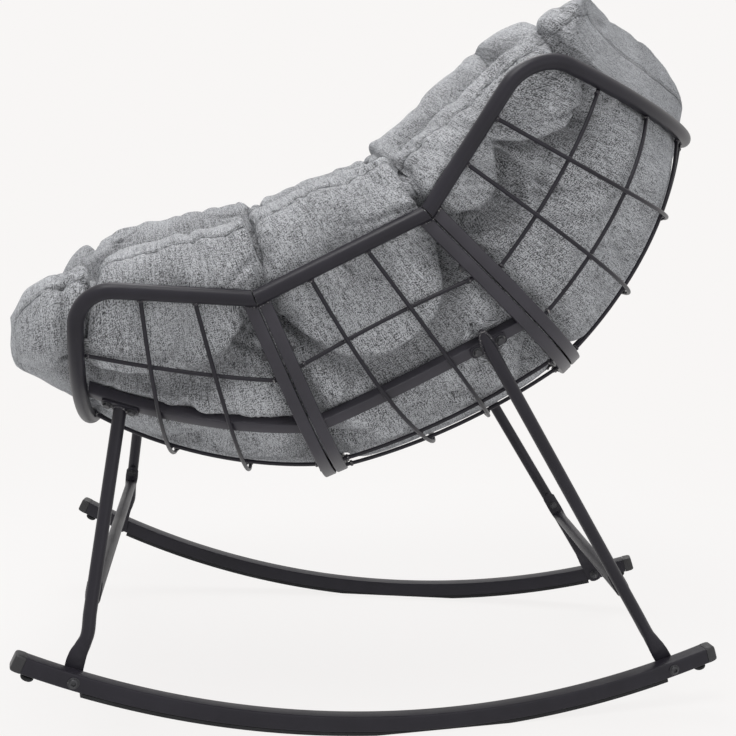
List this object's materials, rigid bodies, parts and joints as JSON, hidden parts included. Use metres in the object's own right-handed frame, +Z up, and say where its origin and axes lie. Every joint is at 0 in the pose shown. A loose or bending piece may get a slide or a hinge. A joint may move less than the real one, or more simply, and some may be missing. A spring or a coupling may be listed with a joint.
{
  "type": "rocking chair",
  "caption": "Outdoor rocking chair: a bolted wire-grid bucket seat on tube legs and arc rockers, lined with one thick tufted cushion.",
  "frame": {"origin": "on the floor, at the middle of the chair's overall width and length", "axes": "+X towards the sitter's left, +Y from the front of the seat to the back, +Z up"},
  "size_m": [0.687, 0.8847, 0.8941],
  "materials": {
    "powder_coat": "satin near-black powder coat",
    "rubber": "matt black",
    "black_plastic": "matt black moulded",
    "bolt_steel": "blackened",
    "grey_fabric": "heather grey woven cover over soft filling"
  },
  "bodies": {
    "root": {"front_rail": "powder_coat", "front_joint_bar": "powder_coat", "front_grid": "powder_coat", "middle_rim_left": "powder_coat", "middle_rim_right": "powder_coat", "middle_front_bar": "powder_coat", "middle_rear_bar": "powder_coat", "middle_grid": "powder_coat", "back_joint_bar": "powder_coat", "back_rail": "powder_coat", "back_grid": "powder_coat", "front_leg_rail_left": "powder_coat", "front_leg_rail_right": "powder_coat", "middle_leg_rail_left": "powder_coat", "middle_leg_rail_right": "powder_coat", "rocker_left": "powder_coat", "rocker_right": "powder_coat", "front_leg_left": "powder_coat", "front_leg_right": "powder_coat", "rear_leg_left": "powder_coat", "rear_leg_right": "powder_coat", "front_crossbar": "powder_coat", "rear_crossbar": "powder_coat", "rubber_strip_left": "rubber", "rubber_strip_right": "rubber", "front_end_cap_left": "black_plastic", "front_end_cap_right": "black_plastic", "rear_end_cap_left": "black_plastic", "rear_end_cap_right": "black_plastic", "front_stop_pad_left": "black_plastic", "front_stop_pad_right": "black_plastic", "rear_stop_pad_left": "black_plastic", "rear_stop_pad_right": "black_plastic", "front_rocker_bolt_left": "bolt_steel", "front_rocker_bolt_right": "bolt_steel", "rear_rocker_bolt_left": "bolt_steel", "rear_rocker_bolt_right": "bolt_steel", "front_plate_bolt_a_left": "bolt_steel", "front_plate_bolt_a_right": "bolt_steel", "front_plate_bolt_b_left": "bolt_steel", "front_plate_bolt_b_right": "bolt_steel", "rear_plate_bolt_a_left": "bolt_steel", "rear_plate_bolt_a_right": "bolt_steel", "rear_plate_bolt_b_left": "bolt_steel", "rear_plate_bolt_b_right": "bolt_steel", "front_crossbar_bolt_left": "bolt_steel", "front_crossbar_bolt_right": "bolt_steel", "rear_crossbar_bolt_left": "bolt_steel", "rear_crossbar_bolt_right": "bolt_steel", "front_joint_bolt_side_left": "bolt_steel", "front_joint_bolt_side_right": "bolt_steel", "front_joint_bolt_lower_left": "bolt_steel", "front_joint_bolt_lower_right": "bolt_steel", "rear_joint_bolt_side_left": "bolt_steel", "rear_joint_bolt_side_right": "bolt_steel", "rear_joint_bolt_lower_left": "bolt_steel", "rear_joint_bolt_lower_right": "bolt_steel", "seat_cushion": "grey_fabric"}
  },
  "joints": []
}
